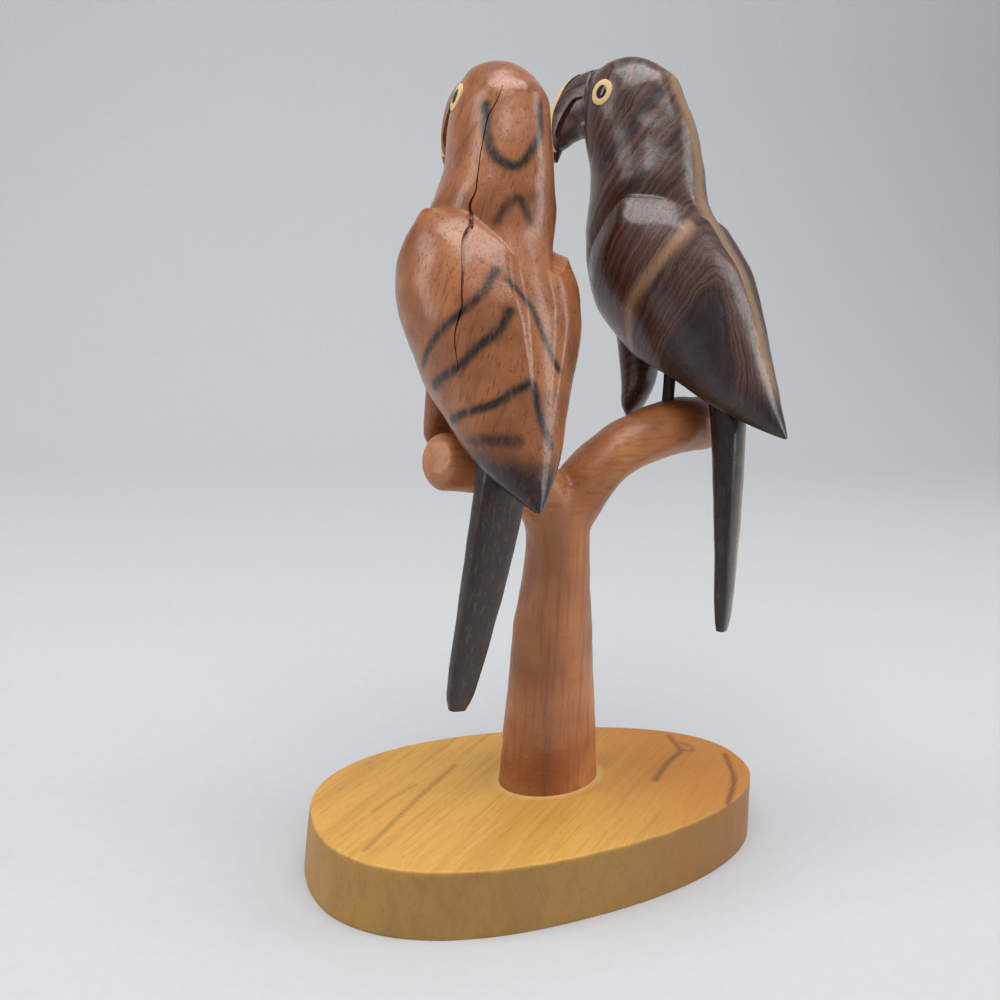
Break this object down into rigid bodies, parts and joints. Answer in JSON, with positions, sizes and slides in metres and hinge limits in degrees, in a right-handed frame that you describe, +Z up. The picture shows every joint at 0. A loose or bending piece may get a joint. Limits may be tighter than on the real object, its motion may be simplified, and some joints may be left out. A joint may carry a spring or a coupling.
{
  "type": "carved parrot pair on branch",
  "caption": "Carved wooden parrots with inlaid eyes and pale bill ridges, pegged to the limbs of a forked branch on an oval board.",
  "frame": {"origin": "middle of the flat underside of the oval board", "axes": "+Z up, +X along the board towards the higher limb, -Y towards the side on which the birds show their backs and tails"},
  "size_m": [0.1332, 0.0867, 0.2175],
  "materials": {
    "base_wood": "satin, golden yellow with orange-brown and dark streaks",
    "branch_wood": "satin, orange-brown",
    "left_parrot_wood": "polished, orange-brown with dark figure",
    "right_parrot_wood": "polished, dark purple-brown with darker figure",
    "pale_inlay": "satin, pale yellow",
    "dark_inlay": "polished, near black"
  },
  "bodies": {
    "root": {"base": "base_wood", "branch": "branch_wood", "left_parrot": "left_parrot_wood", "left_parrot_bill_strip": "pale_inlay", "left_parrot_left_eye_ring": "pale_inlay", "left_parrot_left_pupil": "dark_inlay", "left_parrot_right_eye_ring": "pale_inlay", "left_parrot_right_pupil": "dark_inlay", "left_parrot_peg": "dark_inlay", "right_parrot": "right_parrot_wood", "right_parrot_bill_strip": "pale_inlay", "right_parrot_left_eye_ring": "pale_inlay", "right_parrot_left_pupil": "dark_inlay", "right_parrot_right_eye_ring": "pale_inlay", "right_parrot_right_pupil": "dark_inlay", "right_parrot_peg": "dark_inlay"}
  },
  "joints": []
}
